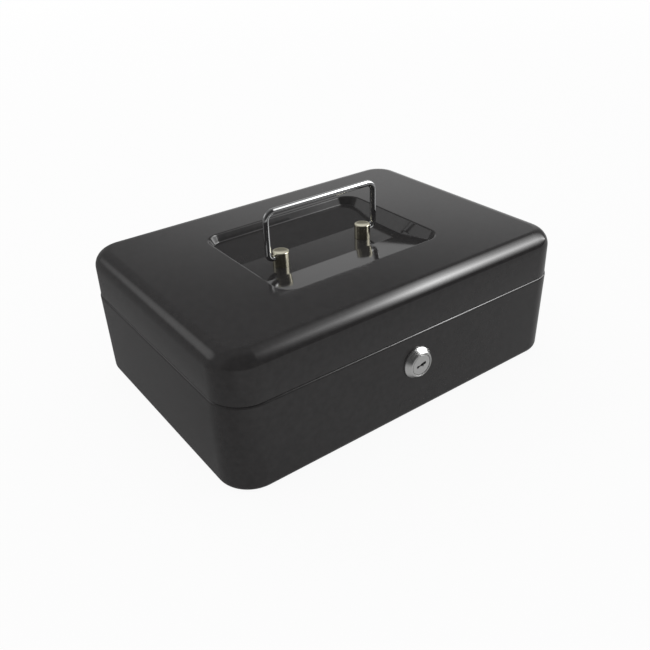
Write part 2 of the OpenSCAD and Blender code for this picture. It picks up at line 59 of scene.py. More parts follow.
# Length of the cutters that pierce the sheet.
DRILL = 8 * MM
# Smallest corner radius of a lofted ring, at the middle of a floor.
CORE = 0.4 * MM
BASE_LOW, BASE_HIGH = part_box("base_shell")
LID_LOW, LID_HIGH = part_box("lid_shell")
POST_LOW, POST_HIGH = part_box("handle_post_right")
BAIL_LOW, BAIL_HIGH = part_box("handle_bail")
LOCK_LOW, LOCK_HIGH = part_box("lock_housing")
PLUG_LOW, PLUG_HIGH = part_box("lock_plug")
POST_MIDDLE = (POST_LOW.x + POST_HIGH.x) / 2


# ---- Sizes and finishes ----

def length(name, description, default):
    """A length property whose default is given in metres."""
    return bpy.props.FloatProperty(
        name=name, description=description, default=default, min=0.0, precision=5,
        subtype="DISTANCE", unit="LENGTH")


def tint(name, description, default):
    """A colour property."""
    return bpy.props.FloatVectorProperty(
        name=name, description=description, default=default, size=3, min=0.0, max=1.0,
        subtype="COLOR")


def factor(name, description, default, top=1.0):
    """A plain number between 0 and top."""
    return bpy.props.FloatProperty(
        name=name, description=description, default=default, min=0.0, max=top, precision=3)


class CashBoxShellSizes(bpy.types.PropertyGroup):
    """Sizes of the two pressed shells."""
    sheet: length("Sheet", "Thickness of the steel sheet", 1.0 * MM)
    edge: length("Sheet edge", "Rounding of the sheet's cut edges", 0.3 * MM)
    corner: length("Corner radius", "Corner radius of the box in plan", 21 * MM)
    bottom_bend: length("Bottom bend", "Outside radius between floor and walls", 4 * MM)
    base_draft: length("Base draft", "How much the base narrows towards the floor", 0.5 * MM)
    shoulder: length("Shoulder", "Height of the shoulder under the lid's edge", 56.8 * MM)
    jog: length("Jog", "How far the lip stands in from the wall", 1.9 * MM)
    lid_bend: length("Lid bend", "Outside radius between the lid's walls and top", 10.5 * MM)
    lid_draft: length("Lid draft", "How much the lid narrows towards its top", 0.3 * MM)
    lid_inset: length("Lid inset", "Set-back of the lid behind the base's shoulder", 0.5 * MM)
    recess_width: length("Recess width", "Width of the recess at the lid's top", 122 * MM)
    recess_depth: length("Recess depth", "Depth of the recess, front to back", 97 * MM)
    recess_back: length("Recess back", "How far the recess lies behind the middle", 1.5 * MM)
    recess_drop: length("Recess drop", "How far the recess floor lies down", 9 * MM)
    recess_corner: length("Recess corner", "Corner radius of the recess", 12 * MM)
    recess_rim: length("Recess rim", "Radius where the top rolls into the recess", 1.5 * MM)
    recess_level: length("Level strip", "Depth of the floor's level strip", 30 * MM)
    recess_crease: length("Crease", "Radius of the creases beside the level strip", 3 * MM)
    recess_soft: length("Soft foot", "Height over which the walls roll into the floor", 0.4 * MM)
    recess_ramp: bpy.props.FloatProperty(
        name="Floor slope", description="Slope of the floor in front of and behind the strip",
        default=math.radians(8), subtype="ANGLE", unit="ROTATION")
    recess_slope: bpy.props.FloatProperty(
        name="Recess slope", description="Angle of the recess walls above the horizontal",
        default=math.radians(60), subtype="ANGLE", unit="ROTATION")


class CashBoxHandleSizes(bpy.types.PropertyGroup):
    """Sizes of the wire handle and its posts."""
    wire: length("Wire", "Diameter of the handle's wire", 4 * MM)
    grip_bend: length("Grip bend", "Centre-line radius beside the grip", 5.5 * MM)
    hook_bend: length("Hook bend", "Centre-line radius into the posts", 3.5 * MM)
    post_edge: length("Post edge", "Rounding of a post's top edge", 0.5 * MM)
    post_rim: length("Post rim", "Width of the rim round a post's dish", 0.9 * MM)
    post_dish: length("Post dish", "Depth of the dish in a post's top", 0.35 * MM)
    socket: length("Socket", "Depth of the hole for the wire in a post", 7.98 * MM)
    wire_in: length("Wire in", "How deep the wire reaches into a post", 7.6 * MM)


class CashBoxLockSizes(bpy.types.PropertyGroup):
    """Sizes of the lock's bezel, barrel and plug."""
    bezel: length("Bezel", "Diameter of the bezel at the wall", 20 * MM)
    face: length("Face", "Diameter of the bezel's face", 15.4 * MM)
    barrel: length("Barrel", "Diameter of the threaded barrel", 16 * MM)
    flats: length("Flats", "Width of the barrel across its flats", 14 * MM)
    stand: length("Stand", "How far the bezel stands out", 4.3 * MM)
    plug_face: length("Plug face", "Diameter of the plug's face", 12.9 * MM)
    groove: length("Groove", "Open groove round the plug's face", 0.4 * MM)
    axis: length("Axis height", "Height of the lock's axis", 37.5 * MM)
    bezel_edge: length("Bezel edge", "Thickness of the bezel at its edge", 0.9 * MM)
    bore: length("Bore", "Diameter of the barrel's bore", 10.48 * MM)
    pocket: length("Pocket", "Depth of the pocket that the plug's face lies in", 1.8 * MM)
    tooth: length("Tooth", "Depth of the barrel's thread", 0.42 * MM)
    plug_body: length("Plug body", "Diameter of the plug behind its face", 10.4 * MM)
    collar: length("Collar", "Thickness of the plug's face", 1.55 * MM)
    tail: length("Tail", "Length of the plug's square tail", 1.9 * MM)
    square: length("Square", "Width of the plug's square tail", 5 * MM)
    face_round: length("Face rounding", "Rounding between the bezel's face and its cone", 0.7 * MM)
    edge_round: length("Edge rounding", "Rounding between the bezel's cone and its edge", 0.6 * MM)
    key_depth: length("Keyway depth", "How deep the keyway is cut", 11 * MM)
    key_turn: bpy.props.FloatProperty(
        name="Keyway turn", description="Turn of the keyway from upright",
        default=math.radians(102), subtype="ANGLE", unit="ROTATION")


class CashBoxFastenerSizes(bpy.types.PropertyGroup):
    """Sizes of the rivets and of the screws under the posts."""
    rivet: length("Rivet", "Diameter of a rivet's shank", 3.2 * MM)
    rivet_hole: length("Rivet hole", "Diameter of a rivet's hole in the sheet", 3.3 * MM)
    rivet_dome: length("Rivet dome", "Height of a rivet's outer head", 1.4 * MM)
    rivet_foot: length("Rivet foot", "Height of a rivet's clinched end", 0.7 * MM)
    screw: length("Screw", "Diameter of a post's screw", 4 * MM)
    screw_hole: length("Screw hole", "Diameter of a screw's hole", 4.1 * MM)
    screw_slot: length("Screw slot", "Width of a screw's cross slot", 0.8 * MM)


class CashBoxFinish(bpy.types.PropertyGroup):
    """Colours and roughness of the finishes."""
    coat: tint("Coat", "Black coat on the sheet and hinges", (0.0275, 0.0262, 0.0265))
    chrome: tint("Bright chrome", "Plated wire", (0.64, 0.645, 0.65))
    satin: tint("Satin chrome", "Lock face and bezel", (0.88, 0.88, 0.87))
    nickel: tint("Nickel", "Turned posts", (0.76, 0.72, 0.56))
    zinc: tint("Zinc", "Nuts, washers and screws", (0.55, 0.56, 0.56))
    tray: tint("Tray plastic", "Moulded coin tray", (0.028, 0.028, 0.031))
    coat_roughness: factor("Coat roughness", "Roughness of the black coat", 0.10)
    hinge_roughness: factor("Hinge roughness", "Roughness of the coat on the hinges", 0.13)
    chrome_roughness: factor("Chrome roughness", "Roughness of the plated wire", 0.10)
    satin_roughness: factor("Satin roughness", "Roughness of the satin chrome", 0.30)
    nickel_roughness: factor("Nickel roughness", "Roughness of the posts", 0.16)
    zinc_roughness: factor("Zinc roughness", "Roughness of the zinc plating", 0.34)
    tray_roughness: factor("Tray roughness", "Roughness of the tray's plastic", 0.42)


class CashBoxStudio(bpy.types.PropertyGroup):
    """Camera and light."""
    lens: bpy.props.FloatProperty(
        name="Lens", description="Focal length of the camera", default=40.30,
        min=10.0, max=200.0, subtype="DISTANCE_CAMERA", unit="CAMERA")
    yaw: bpy.props.FloatProperty(
        name="Yaw", description="Turn of the camera round the box",
        default=math.radians(35.52), subtype="ANGLE", unit="ROTATION")
    pitch: bpy.props.FloatProperty(
        name="Pitch", description="Downward tilt of the camera",
        default=math.radians(30.92), subtype="ANGLE", unit="ROTATION")
    roll: bpy.props.FloatProperty(
        name="Roll", description="Turn of the camera about its own axis",
        default=math.radians(-2.11), subtype="ANGLE", unit="ROTATION")
    eye: bpy.props.FloatVectorProperty(
        name="Eye", description="Place of the camera",
        default=(-0.24818, -0.34657, 0.27630), size=3, subtype="TRANSLATION", unit="LENGTH")
    back: factor("Back softbox", "Power of the softbox behind in watts", 3.0, 500.0)
    softbox: factor("Softbox", "How bright glossy pieces see the softbox at the right", 21.0, 50.0)
    side_wall: factor("Side wall", "How bright glossy pieces see the wall at the left", 0.9, 5.0)
    fill: factor("Fill", "Strength of the light from all round", 0.8, 10.0)
    floor_in_gloss: factor("Floor in gloss", "How bright glossy pieces see the near floor", 0.34, 2.0)
    room: factor("Room", "How bright glossy pieces see the room", 0.23, 2.0)
    far_side: factor("Far side", "How bright glossy pieces see the room behind the box", 0.85, 2.0)


GROUPS = (
    ("cash_box_shell", CashBoxShellSizes),
    ("cash_box_handle", CashBoxHandleSizes),
    ("cash_box_lock", CashBoxLockSizes),
    ("cash_box_fasteners", CashBoxFastenerSizes),
    ("cash_box_finish", CashBoxFinish),
    ("cash_box_studio", CashBoxStudio),
)


# ---- Meshes ----

def linked(name, bm):
    """Links a bmesh as a new object and frees it."""
    mesh = bpy.data.meshes.new(name)
    bm.to_mesh(mesh)
    bm.free()
    obj = bpy.data.objects.new(name, mesh)
    bpy.context.scene.collection.objects.link(obj)
    return obj


def discard(obj):
    """Removes a scratch object and its mesh."""
    mesh = obj.data
    bpy.data.objects.remove(obj)
    bpy.data.meshes.remove(mesh)


def baked(obj):
    """The evaluated mesh of a scratch object, which is then removed."""
    bpy.context.view_layer.update()
    graph = bpy.context.evaluated_depsgraph_get()
    mesh = bpy.data.meshes.new_from_object(obj.evaluated_get(graph), depsgraph=graph)
    discard(obj)
    return mesh


def put(name, mesh, body, slot, nodes, smooth_angle=35):
    """Links a mesh as a piece at the origin, gives it its finish and hangs it on a body."""
    mesh.name = name
    mesh.materials.clear()
    mesh.materials.append(finish(slot))
    mesh.shade_smooth()
    mesh.set_sharp_from_angle(angle=math.radians(smooth_angle))
    piece = bpy.data.objects.new(name, mesh)
    bpy.context.scene.collection.objects.link(piece)
    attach(piece, body)
    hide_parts(*nodes)


def heading(a, b):
    """Direction from one 2-D point to another."""
    x, z = b[0] - a[0], b[1] - a[1]
    reach = math.hypot(x, z)
    return x / reach, z / reach


def left(v):
    """A 2-D vector turned a quarter to its left."""
    return -v[1], v[0]


def rolled(path, steps, support=0):
    """Points and left-hand normals of a path whose inner points (x, z, radius) are round bends.
    steps is the number of points in a quarter turn. support is how far before and after each bend
    one more point stands, so that shading stays flat beside the bend."""
    out = [(path[0][:2], left(heading(path[0], path[1])))]
    for a, b, c in zip(path, path[1:], path[2:]):
        u = heading(a, b)
        v = heading(b, c)
        turn = math.atan2(u[0] * v[1] - u[1] * v[0], u[0] * v[0] + u[1] * v[1])
        side = 1.0 if turn > 0 else -1.0
        back = b[2] * math.tan(abs(turn) / 2)
        start = (b[0] - u[0] * back, b[1] - u[1] * back)
        across = left(u)
        centre = (start[0] + across[0] * side * b[2], start[1] + across[1] * side * b[2])
        if support:
            out.append(((start[0] - u[0] * support, start[1] - u[1] * support), across))
        count = max(2, int(round(steps * abs(turn) / (math.pi / 2))))
        for k in range(count + 1):
            t = turn * k / count
            n = (across[0] * math.cos(t) - u[0] * math.sin(t),
                 across[1] * math.cos(t) - u[1] * math.sin(t))
            out.append(((centre[0] - n[0] * side * b[2], centre[1] - n[1] * side * b[2]), n))
        if support:
            end = out[-1][0]
            out.append(((end[0] + v[0] * support, end[1] + v[1] * support), left(v)))
    out.append((path[-1][:2], left(heading(path[-2], path[-1]))))
    return out


def beside(points, distance):
    """The path moved to its left by a distance."""
    return [(p[0] + n[0] * distance, p[1] + n[1] * distance) for p, n in points]


def rim_points(half_w, half_d, radius, z, steps, across, along):
    """A round-cornered rectangle, anticlockwise from +X, with the same number of points at any size.
    across and along are the places of the points on the sides along X and Y, from -1 to 1."""
    out = []
    for corner in range(4):
        sx = 1 if corner in (0, 3) else -1
        sy = 1 if corner in (0, 1) else -1
        cx, cy = half_w - radius, half_d - radius
        for k in range(steps + 1):
            t = math.pi / 2 * (corner + k / steps)
            out.append(Vector((sx * cx + radius * math.cos(t), sy * cy + radius * math.sin(t), z)))
        if corner in (0, 2):
            places = reversed(across) if corner == 0 else across
            out += [Vector((cx * f, sy * half_d, z)) for f in places]
        else:
            places = reversed(along) if corner == 1 else along
            out += [Vector((sx * half_w, cy * f, z)) for f in places]
    return out


def ring(bm, points):
    """Vertices of one closed ring."""
    return [bm.verts.new(p) for p in points]


def skin(bm, a, b):
    """Quads between two rings of the same count."""
    n = len(a)
    for i in range(n):
        j = (i + 1) % n
        bm.faces.new((a[i], a[j], b[j], b[i]))


def cut_edge(p, n, ahead, half, radius, steps=3):
    """Points round a sheet's cut edge, from its left side to its right side."""
    out = []
    for sign in (1, -1):
        corner = (p[0] + n[0] * half * sign, p[1] + n[1] * half * sign)
        centre = (corner[0] - n[0] * radius * sign - ahead[0] * radius,
                  corner[1] - n[1] * radius * sign - ahead[1] * radius)
        arc = []
        for k in range(steps + 1):
            t = math.pi / 2 * k / steps
            arc.append((centre[0] + radius * (n[0] * sign * math.cos(t) + ahead[0] * math.sin(t)),
                        centre[1] + radius * (n[1] * sign * math.cos(t) + ahead[1] * math.sin(t))))
        out += arc if sign > 0 else list(reversed(arc))
    return out


def prism(outline, low, high, place, taper=1.0):
    """A maker of a closed cutter: an (x, y) outline drawn out from z = low to z = high and placed.
    taper scales its high end."""
    def make(bm):
        start, end = (ring(bm, [place @ Vector((x * scale, y * scale, z)) for x, y in outline])
                      for z, scale in ((low, 1), (high, taper)))
        skin(bm, start, end)
        bm.faces.new(list(reversed(start)))
        bm.faces.new(end)
    return make


def hole(centre, axis, radius, depth, flats=None, sides=64):
    """A maker of a closed cutter: a rod through centre along axis, with two flats if given."""
    turn = Vector((0, 0, 1)).rotation_difference(Vector(axis)).to_matrix().to_4x4()
    limit = flats / 2 if flats else radius
    spots = [2 * math.pi * k / sides for k in range(sides)]
    outline = [(max(-limit, min(limit, radius * math.cos(t))), radius * math.sin(t)) for t in spots]
    return prism(outline, -depth / 2, depth / 2, Matrix.Translation(centre) @ turn)


def drilled(name, bm, cutters):
    """The mesh that is left when the cutters' closed meshes are cut out of a shell."""
    tools = bmesh.new()
    for make in cutters:
        make(tools)
    shell = linked(name, bm)
    tool = linked(name + "_holes", tools)
    cutting = shell.modifiers.new("holes", "BOOLEAN")
    cutting.operation = "DIFFERENCE"
    cutting.solver = "EXACT"
    cutting.object = tool
    result = baked(shell)
    discard(tool)
    return result


def facing_out(bm):
    """The bmesh with all its faces turned outwards."""
    bmesh.ops.recalc_face_normals(bm, faces=bm.faces[:])
    return bm


def turned(outline, place, sides=96, tube=False):
    """Revolves an (r, z) outline round Z and places it. Points with r = 0 become poles, and a
    tube's last ring is joined to its first."""
    bm = bmesh.new()
    rings = []
    for r, z in outline:
        count = 1 if r < 1e-7 else sides
        spots = [2 * math.pi * k / sides for k in range(count)]
        rings.append(ring(bm, [place @ Vector((r * math.cos(t), r * math.sin(t), z))
                               for t in spots]))
    for a, b in zip(rings, rings[1:]):
        for k in range(sides):
            j = (k + 1) % sides
            if len(a) == 1:
                bm.faces.new((a[0], b[j], b[k]))
            elif len(b) == 1:
                bm.faces.new((a[k], a[j], b[0]))
            else:
                bm.faces.new((a[k], a[j], b[j], b[k]))
    if tube:
        skin(bm, rings[-1], rings[0])
    return facing_out(bm)


# ---- Finishes ----

def add_node(tree, kind, inputs=None, **settings):
    """Adds a node to a tree with its settings. Each input is linked to a socket or set to a value."""
    made = tree.nodes.new(kind)
    for key, value in settings.items():
        setattr(made, key, value)
    for key, value in (inputs or {}).items():
        if isinstance(value, bpy.types.NodeSocket):
            tree.links.new(value, made.inputs[key])
        else:
            made.inputs[key].default_value = value
    return made


def calc(tree, operation, *terms):
    """The result of a math node over sockets and plain numbers."""
    return add_node(tree, "ShaderNodeMath", dict(enumerate(terms)), operation=operation).outputs[0]


def vector(tree, operation, *terms):
    """The result of a vector math node: a number for a length or a dot product."""
    made = add_node(tree, "ShaderNodeVectorMath", dict(enumerate(terms)), operation=operation)
    return made.outputs["Value" if operation in ("LENGTH", "DOT_PRODUCT") else "Vector"]


def axes(tree, place):
    """The three coordinates of a vector."""
    return list(add_node(tree, "ShaderNodeSeparateXYZ", {"Vector": place}).outputs)


def ranged(tree, value, start, end, low, high, ends="SMOOTHSTEP"):
    """Maps a value's span from start to end to the span from low to high, with soft ends unless
    ends is LINEAR."""
    inputs = {"Value": value, "From Min": start, "From Max": end, "To Min": low, "To Max": high}
    made = add_node(tree, "ShaderNodeMapRange", inputs, interpolation_type=ends)
    return made.outputs["Result"]


def paint(name):
    """A new material, its node tree, its shader and the object coordinates."""
    material = bpy.data.materials.new(name)
    material.use_nodes = True
    tree = material.node_tree
    place = add_node(tree, "ShaderNodeTexCoord").outputs["Object"]
    return material, tree, tree.nodes["Principled BSDF"], place


def noise(tree, place, scale, detail):
    """Noise over the piece, with scale in waves per metre."""
    inputs = {"Vector": place, "Scale": scale, "Detail": detail}
    return add_node(tree, "ShaderNodeTexNoise", inputs).outputs["Fac"]


def surfaced(tree, shader, colour, tone, gloss, bumps, metallic=0.0):
    """Fills in a shader. tone is a noise and how far it changes the colour, gloss a noise and the
    lowest and highest roughness, and bumps are pairs of a height and its depth in metres."""
    grain, change = tone
    dark, light = ([min(1.0, c * (1 + sign * change)) for c in colour] + [1] for sign in (-1, 1))
    mix = add_node(tree, "ShaderNodeMix", {"Factor": grain, "A": dark, "B": light}, data_type="RGBA")
    tree.links.new(mix.outputs["Result"], shader.inputs["Base Color"])
    grain, low, high = gloss
    rough = ranged(tree, grain, 0.35, 0.65, low, high, "LINEAR")
    tree.links.new(rough, shader.inputs["Roughness"])
    shader.inputs["Metallic"].default_value = metallic
    under = {}
    for height, depth in bumps:
        inputs = {"Height": height, "Distance": depth, "Strength": 1.0, **under}
        under = {"Normal": add_node(tree, "ShaderNodeBump", inputs).outputs["Normal"]}
    tree.links.new(under["Normal"], shader.inputs["Normal"])


def black_coat(name, colour, rough):
    """Glossy black coat: fine orange peel, slow waves, faint mottle and uneven gloss."""
    material, tree, shader, place = paint(name)
    peel = noise(tree, place, 900, 2)
    mottle = noise(tree, place, 260, 4)
    wide = noise(tree, place, 14, 3)
    surfaced(tree, shader, colour, (mottle, 0.30), (wide, rough * 0.85, rough * 1.15),
             [(peel, 0.0002 * MM), (wide, 0.01 * MM)])
    return material


def plated(name, colour, rough, grain, depth):
    """Plated metal with working marks of a grain and depth, and uneven polish."""
    material, tree, shader, place = paint(name)
    marks = noise(tree, place, grain, 3)
    wide = noise(tree, place, 120, 2)
    surfaced(tree, shader, colour, (wide, 0.05), (marks, rough * 0.75, rough * 1.3),
             [(marks, depth)], 1.0)
    return material


def turned_metal(name, colour, rough, centre, along, fold=False):
    """Lathe-turned metal: rings round an axis through centre, which runs along X (0), Y (1) or
    Z (2). fold mirrors X for a left-right pair."""
    material, tree, shader, place = paint(name)
    parts = axes(tree, place)
    if fold:
        parts[0] = calc(tree, "ABSOLUTE", parts[0])
    off = [calc(tree, "SUBTRACT", parts[i], centre[i]) for i in range(3) if i != along]
    flat = add_node(tree, "ShaderNodeCombineXYZ", {"X": off[0], "Y": off[1]}).outputs["Vector"]
    inputs = {"X": vector(tree, "LENGTH", flat), "Y": parts[along]}
    rings = add_node(tree, "ShaderNodeCombineXYZ", inputs).outputs["Vector"]
    lines = noise(tree, rings, 5200, 2)
    wide = noise(tree, place, 500, 2)
    surfaced(tree, shader, colour, (wide, 0.04), (lines, rough * 0.8, rough * 1.25),
             [(lines, 0.003 * MM)], 1.0)
    return material


def moulded_plastic(name, colour, rough):
    """Black moulded plastic with a fine spark-eroded texture."""
    material, tree, shader, place = paint(name)
    fine = noise(tree, place, 3200, 3)
    wide = noise(tree, place, 35, 3)
    surfaced(tree, shader, colour, (wide, 0.12), (fine, rough * 0.85, rough * 1.15),
             [(fine, 0.02 * MM)])
    return material


def finish(name):
    """One of the box's finishes, made once."""
    label = name + "_finish"
    if label in bpy.data.materials:
        return bpy.data.materials[label]
    look = bpy.context.scene.cash_box_finish
    lock_axis = (0, 0, bpy.context.scene.cash_box_lock.axis)
    post = (POST_LOW + POST_HIGH) / 2
    maker, *values = {
        "black_coat": (black_coat, look.coat, look.coat_roughness),
        "hinge_steel": (black_coat, look.coat, look.hinge_roughness),
        "bright_chrome": (plated, look.chrome, look.chrome_roughness, 400, 0.0001 * MM),
        "satin_chrome": (turned_metal, look.satin, look.satin_roughness, lock_axis, 1),
        "nickel": (turned_metal, look.nickel, look.nickel_roughness, post, 2, True),
        "zinc_plate": (plated, look.zinc, look.zinc_roughness, 1800, 0.004 * MM),
        "tray_plastic": (moulded_plastic, look.tray, look.tray_roughness),
    }[name]
    return maker(label, *values)


# ---- Geometry node trees ----

def new_tree(name, sockets):
    """An empty node tree with a geometry input and output and the named inputs. Returns the tree
    and its inputs' sockets."""
    tree = bpy.data.node_groups.new(name, "GeometryNodeTree")
    tree.interface.new_socket("Geometry", in_out="INPUT", socket_type="NodeSocketGeometry")
    for label, kind, default in sockets:
        socket = tree.interface.new_socket(label, in_out="INPUT", socket_type="NodeSocket" + kind)
        if default is not None:
            socket.default_value = default
    tree.interface.new_socket("Geometry", in_out="OUTPUT", socket_type="NodeSocketGeometry")
    return tree, add_node(tree, "NodeGroupInput").outputs


def end_tree(tree, given, geometry):
    """Real mesh with the finish, at the end of a tree."""
    real = add_node(tree, "GeometryNodeRealizeInstances", {"Geometry": geometry}).outputs["Geometry"]
    coat = add_node(tree, "GeometryNodeSetMaterial", {"Geometry": real, "Material": given["Material"]})
    add_node(tree, "NodeGroupOutput", {"Geometry": coat.outputs["Geometry"]})


def wire_tree():
    """Round wire along a path of edges."""
    found = bpy.data.node_groups.get("bent_wire")
    if found:
        return found
    tree, given = new_tree("bent_wire", (
        ("Radius", "Float", 0.002), ("Sides", "Int", 48), ("Material", "Material", None)))
    line = add_node(tree, "GeometryNodeMeshToCurve", {"Mesh": given["Geometry"]}).outputs["Curve"]
    section = add_node(tree, "GeometryNodeCurvePrimitiveCircle", {
        "Radius": given["Radius"], "Resolution": given["Sides"]}).outputs["Curve"]
    sweep = add_node(tree, "GeometryNodeCurveToMesh", {
        "Curve": line, "Profile Curve": section, "Fill Caps": True})
    end_tree(tree, given, sweep.outputs["Mesh"])
    return tree


def row_tree():
    """Copies of one piece in a row, and of the row in groups."""
    found = bpy.data.node_groups.get("row_of_copies")
    if found:
        return found
    tree, given = new_tree("row_of_copies", (
        ("Count", "Int", 2), ("Spacing", "Vector", (0.01, 0, 0)),
        ("Groups", "Int", 1), ("Group Spacing", "Vector", (0.1, 0, 0)),
        ("Start", "Vector", (0, 0, 0)), ("Material", "Material", None)))
    row = add_node(tree, "GeometryNodeMeshLine", {
        "Count": given["Count"], "Offset": given["Spacing"]}).outputs["Mesh"]
    groups = add_node(tree, "GeometryNodeMeshLine", {
        "Count": given["Groups"], "Offset": given["Group Spacing"],
        "Start Location": given["Start"]}).outputs["Mesh"]
    rows = add_node(tree, "GeometryNodeInstanceOnPoints", {"Points": groups, "Instance": row})
    places = add_node(tree, "GeometryNodeRealizeInstances", {"Geometry": rows.outputs["Instances"]})
    copies = add_node(tree, "GeometryNodeInstanceOnPoints", {
        "Points": places.outputs["Geometry"], "Instance": given["Geometry"]})
    end_tree(tree, given, copies.outputs["Instances"])
    return tree


def grown(bm, tree, values):
    """Runs a node tree on a scratch mesh with its named inputs set, and returns the result."""
    obj = linked("seed", bm)
    modifier = obj.modifiers.new("nodes", "NODES")
    modifier.node_group = tree
    for item in tree.interface.items_tree:
        if item.in_out == "INPUT" and item.name in values:
            modifier[item.identifier] = values[item.name]
    obj.update_tag()
    return baked(obj)


# ---- Shells ----

def lofted(bm, rows, steps, across, along):
    """Skins a shell through (half width, half depth, corner radius, height, mould) rows, where a
    mould, if there is one, moves the row's points. Returns the first and the last ring."""
    rings = []
    for w, d, r, z, mould in rows:
        points = rim_points(w, d, max(r, CORE), z, steps, across, along)
        rings.append(ring(bm, [mould(p) for p in points] if mould else points))
    for a, b in zip(rings, rings[1:]):
        skin(bm, a, b)
    return rings[0], rings[-1]


def placed(points, half_w, half_d, corner, mould=None):
    """(x, z) points of a swept outline as loft rows."""
    return [(half_w - corner + x, half_d - corner + x, x, z, mould) for x, z in points]


def dense(points, longest):
    """The points with more between them, so that no step is longer."""
    out = [points[0]]
    for a, b in zip(points, points[1:]):
        count = max(1, math.ceil(math.hypot(b[0] - a[0], b[1] - a[1]) / longest))
        out += [(a[0] + (b[0] - a[0]) * k / count, a[1] + (b[1] - a[1]) * k / count)
                for k in range(1, count + 1)]
    return out


def grid_floor(bm, loop, half_w, half_d, z, mould, steps, across, along):
    """Closes a ring with a grid of quads between the centres of its corners."""
    xs = [-half_w] + [half_w * f for f in across] + [half_w]
    ys = [-half_d] + [half_d * f for f in along] + [half_d]
    grid = [[bm.verts.new(mould(Vector((x, y, z)))) for x in xs] for y in ys]
    edge = []
    for corner in range(4):
        row = grid[-1] if corner in (0, 1) else grid[0]
        edge += [row[-1] if corner in (0, 3) else row[0]] * (steps + 1)
        if corner in (0, 2):
            edge += reversed(row[1:-1]) if corner == 0 else row[1:-1]
        else:
            side = [line[0 if corner == 1 else -1] for line in grid[1:-1]]
            edge += reversed(side) if corner == 1 else side
    for i in range(len(loop)):
        j = (i + 1) % len(loop)
        bm.faces.new(list(dict.fromkeys((loop[i], loop[j], edge[j], edge[i]))))
    for low, high in zip(grid, grid[1:]):
        for k in range(len(low) - 1):
            bm.faces.new((low[k], low[k + 1], high[k + 1], high[k]))


def rivet_places(node):
    """Middle of a hinge along X, and pitch and height of its rivets, from a node's box."""
    low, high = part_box(node)
    head = high.z - low.z
    hinge_low, hinge_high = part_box("hinge_base_right")
    middle = (hinge_low.x + hinge_high.x) / 2
    pitch = 2 * (high.x - head / 2 - middle)
    return middle, pitch, (low.z + high.z) / 2


def rivet_cutters(node):
    """Cutters for a node's rivets through the rear wall."""
    radius = bpy.context.scene.cash_box_fasteners.rivet_hole / 2
    middle, pitch, z = rivet_places(node)
    return [hole((side * middle + end * pitch / 2, BASE_HIGH.y, z), (0, 1, 0), radius, DRILL,
                 sides=32)
            for side in (-1, 1) for end in (-1, 1)]


def make_base_shell():
    """The drawn base, from the middle of its floor out, up and over its lip."""
    s = bpy.context.scene.cash_box_shell
    lock = bpy.context.scene.cash_box_lock
    half = s.sheet / 2
    wall = s.corner - half
    top = BASE_HIGH.z
    jog_bend = s.jog / 2
    path = rolled([
        (CORE, half),
        (wall - s.base_draft, half, s.bottom_bend - half),
        (wall, s.shoulder - half, jog_bend),
        (wall - s.jog, s.shoulder - half, jog_bend),
        (wall - s.jog, top)], steps=12, support=0.5 * MM)
    outer, inner = beside(path, -half), beside(path, half)
    edge = cut_edge(path[-1][0], path[-1][1], (0, 1), half, s.edge)
    profile = outer[:-1] + list(reversed(edge)) + list(reversed(inner[:-1]))
    bm = bmesh.new()
    sides = (-0.5, 0, 0.5)
    for end in lofted(bm, placed(profile, BASE_HIGH.x, -BASE_LOW.y, s.corner), 20, sides, sides):
        bm.faces.new(end)
    cutters = [hole((0, BASE_LOW.y + half, lock.axis), (0, 1, 0), lock.barrel / 2 + CLEAR, DRILL,
                    flats=lock.flats + 2 * CLEAR)]
    cutters += rivet_cutters("base_hinge_rivets")
    mesh = drilled("base_pressing", facing_out(bm), cutters)
    put("base_pressing", mesh, "base", "black_coat", ("base_shell",), smooth_angle=30)


def recess_floor(distance):
    """Moves a point of the recess to its place on one face of the sheet, which lies at a distance
    above the centre line: up onto the floor's front and rear slopes, with a soft foot."""
    s = bpy.context.scene.cash_box_shell
    half = s.sheet / 2
    z = LID_HIGH.z - s.recess_drop - half
    run, crease = s.recess_depth / 2, s.recess_level / 2
    rise = (run - crease) * math.tan(s.recess_ramp)
    line = beside(rolled([(-run, z + rise), (-crease, z, s.recess_crease),
                          (crease, z, s.recess_crease), (run, z + rise)], steps=60), distance)
    soft = s.recess_soft

    def mould(p):
        for a, b in zip(line, line[1:]):
            if p.y <= b[0] or b is line[-1]:
                floor = a[1] + (b[1] - a[1]) * (p.y - a[0]) / (b[0] - a[0])
                break
        meet = max(soft - abs(p.z - floor), 0) / soft
        return Vector((p.x, p.y + s.recess_back, max(p.z, floor) + meet * meet * soft / 4))
    return mould


